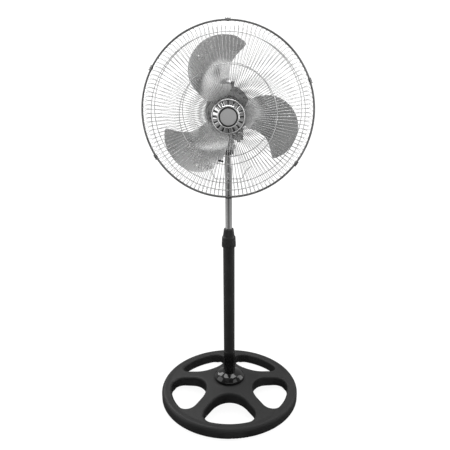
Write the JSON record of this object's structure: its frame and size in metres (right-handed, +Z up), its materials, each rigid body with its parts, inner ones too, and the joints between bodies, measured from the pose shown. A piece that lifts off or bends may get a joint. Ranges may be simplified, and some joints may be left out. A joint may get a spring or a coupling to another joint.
{
  "type": "pedestal fan",
  "caption": "Pedestal fan with a round wire guard, swept metal blades, a tilting and oscillating head, a telescopic pole and a round base with openings.",
  "frame": {"origin": "on the floor, at the centre of the base, under the axis of the pole", "axes": "+Z up along the pole; -Y is the way the air is blown; +X to the right as seen from the front"},
  "size_m": [0.51, 0.51, 1.3051],
  "materials": {
    "base_plastic": "fine moulded texture",
    "ballast": "rough cast",
    "rubber": "matt",
    "zinc_steel": "zinc plated",
    "gloss_black": "polished",
    "tube_black": "satin powder coat",
    "nylon": "natural nylon",
    "grip_plastic": "fine texture",
    "chrome": "polished plating",
    "neck_plastic": "fine texture",
    "cast_grey": "die cast, satin paint",
    "motor_paint": "satin grey",
    "laminations": "stacked sheet",
    "copper": "enamelled wire",
    "steel": "ground",
    "gear_plastic": "acetal",
    "switch_plastic": "fine texture",
    "knob_plastic": "fine texture",
    "blade_metal": "brushed",
    "guard_wire": "bright plating",
    "rim_wire": "dark plating",
    "clip_metal": "satin",
    "cap_chrome": "plated plastic",
    "badge_silver": "satin silver"
  },
  "bodies": {
    "stand": {"base_shell": "base_plastic", "base_ballast": "ballast", "base_underplate": "base_plastic", "rubber_feet": "rubber", "tube_flange": "zinc_steel", "base_nut": "zinc_steel", "dome_cover": "gloss_black", "foot_sleeve": "gloss_black", "lower_tube": "tube_black", "tube_insert": "nylon", "grip_jaws": "nylon"},
    "lock_nut": {"height_lock_nut": "grip_plastic"},
    "mast": {"upper_tube": "chrome", "slide_bush": "nylon", "neck_socket": "neck_plastic", "neck_screw": "neck_plastic", "tilt_bolt": "zinc_steel", "tilt_nut": "zinc_steel"},
    "tilt": {"tilt_bracket": "cast_grey"},
    "head": {"swivel_socket": "cast_grey", "motor_front_cover": "motor_paint", "motor_rear_cover": "motor_paint", "stator_core": "laminations", "stator_windings": "copper", "motor_bearings": "steel", "gearbox_housing": "motor_paint", "gearbox_cover": "motor_paint", "gearbox_screws": "zinc_steel", "switch_housing": "switch_plastic", "run_capacitor": "gloss_black", "cable_gland": "rubber", "guard_plate": "zinc_steel", "guard_screws": "zinc_steel", "front_guard_spokes": "guard_wire", "rear_guard_spokes": "guard_wire", "front_guard_rings": "rim_wire", "rear_guard_rings": "rim_wire", "wire_tie": "knob_plastic", "front_cap": "cap_chrome", "front_badge": "badge_silver"},
    "rotor": {"rotor_core": "laminations", "motor_shaft": "steel", "blade_spider": "steel", "blade_rivets": "blade_metal", "blade_hub": "blade_metal", "blade_nut": "knob_plastic", "blade_1": "blade_metal", "blade_2": "blade_metal", "blade_3": "blade_metal"},
    "crank": {"worm_wheel": "gear_plastic", "crank_spindle": "steel"},
    "rod": {"connecting_rod": "zinc_steel"},
    "pull_knob": {"oscillation_knob": "knob_plastic"},
    "speed_selector": {"speed_knob": "knob_plastic"},
    "clip_1": {"guard_clip_1": "clip_metal"},
    "clip_2": {"guard_clip_2": "clip_metal"},
    "clip_3": {"guard_clip_3": "clip_metal"},
    "clip_4": {"guard_clip_4": "clip_metal"},
    "clip_5": {"guard_clip_5": "clip_metal"},
    "clip_6": {"guard_clip_6": "clip_metal"}
  },
  "joints": [
    {"name": "height_slide", "type": "slide", "parent": "stand", "child": "mast", "axis": [0, 0, 1], "range_m": [-0.22, 0.12]},
    {"name": "lock_nut_twist", "type": "hinge", "parent": "stand", "child": "lock_nut", "pos_m": [0, 0, 0.63], "axis": [0, 0, 1], "range_deg": [0, 90]},
    {"name": "tilt", "type": "hinge", "parent": "mast", "child": "tilt", "pos_m": [0, 0, 0.938], "axis": [1, 0, 0], "range_deg": [-30, 12]},
    {"name": "oscillation", "type": "hinge", "parent": "tilt", "child": "head", "pos_m": [0, 0, 0.958], "axis": [0, 0, 1], "range_deg": [-45, 45]},
    {"name": "blade_spin", "type": "hinge", "parent": "head", "child": "rotor", "pos_m": [0, -0.1, 1.053], "axis": [0, 1, 0], "continuous": true},
    {"name": "crank_spin", "type": "hinge", "parent": "head", "child": "crank", "pos_m": [0.013, 0.078, 1], "axis": [0, 0, 1], "continuous": true},
    {"name": "rod_swing", "type": "hinge", "parent": "crank", "child": "rod", "pos_m": [0.013, 0.067, 0.971], "axis": [0, 0, 1], "continuous": true},
    {"name": "knob_pull", "type": "slide", "parent": "head", "child": "pull_knob", "axis": [0, 0, 1], "range_m": [0, 0.008]},
    {"name": "speed_select", "type": "hinge", "parent": "head", "child": "speed_selector", "pos_m": [0.032, 0.0084, 0.972], "axis": [0, 1, 0], "range_deg": [0, 135]},
    {"name": "clip_1_open", "type": "hinge", "parent": "head", "child": "clip_1", "pos_m": [0.23059, -0.1177, 1.14152], "axis": [-0.3584, 0, 0.9336], "range_deg": [0, 75]},
    {"name": "clip_2_open", "type": "hinge", "parent": "head", "child": "clip_2", "pos_m": [0, -0.1177, 1.3], "axis": [-1, 0, 0], "range_deg": [0, 75]},
    {"name": "clip_3_open", "type": "hinge", "parent": "head", "child": "clip_3", "pos_m": [-0.21391, -0.1177, 1.1765], "axis": [-0.5, 0, -0.866], "range_deg": [0, 75]},
    {"name": "clip_4_open", "type": "hinge", "parent": "head", "child": "clip_4", "pos_m": [-0.21391, -0.1177, 0.9295], "axis": [0.5, 0, -0.866], "range_deg": [0, 75]},
    {"name": "clip_5_open", "type": "hinge", "parent": "head", "child": "clip_5", "pos_m": [0, -0.1177, 0.806], "axis": [1, 0, 0], "range_deg": [0, 75]},
    {"name": "clip_6_open", "type": "hinge", "parent": "head", "child": "clip_6", "pos_m": [0.19983, -0.1177, 0.90782], "axis": [0.5878, 0, 0.809], "range_deg": [0, 75]}
  ],
  "couplings": [
    {"joint": "crank_spin", "follows": "blade_spin", "ratio": 0.033333},
    {"joint": "rod_swing", "follows": "blade_spin", "ratio": -0.033333}
  ]
}
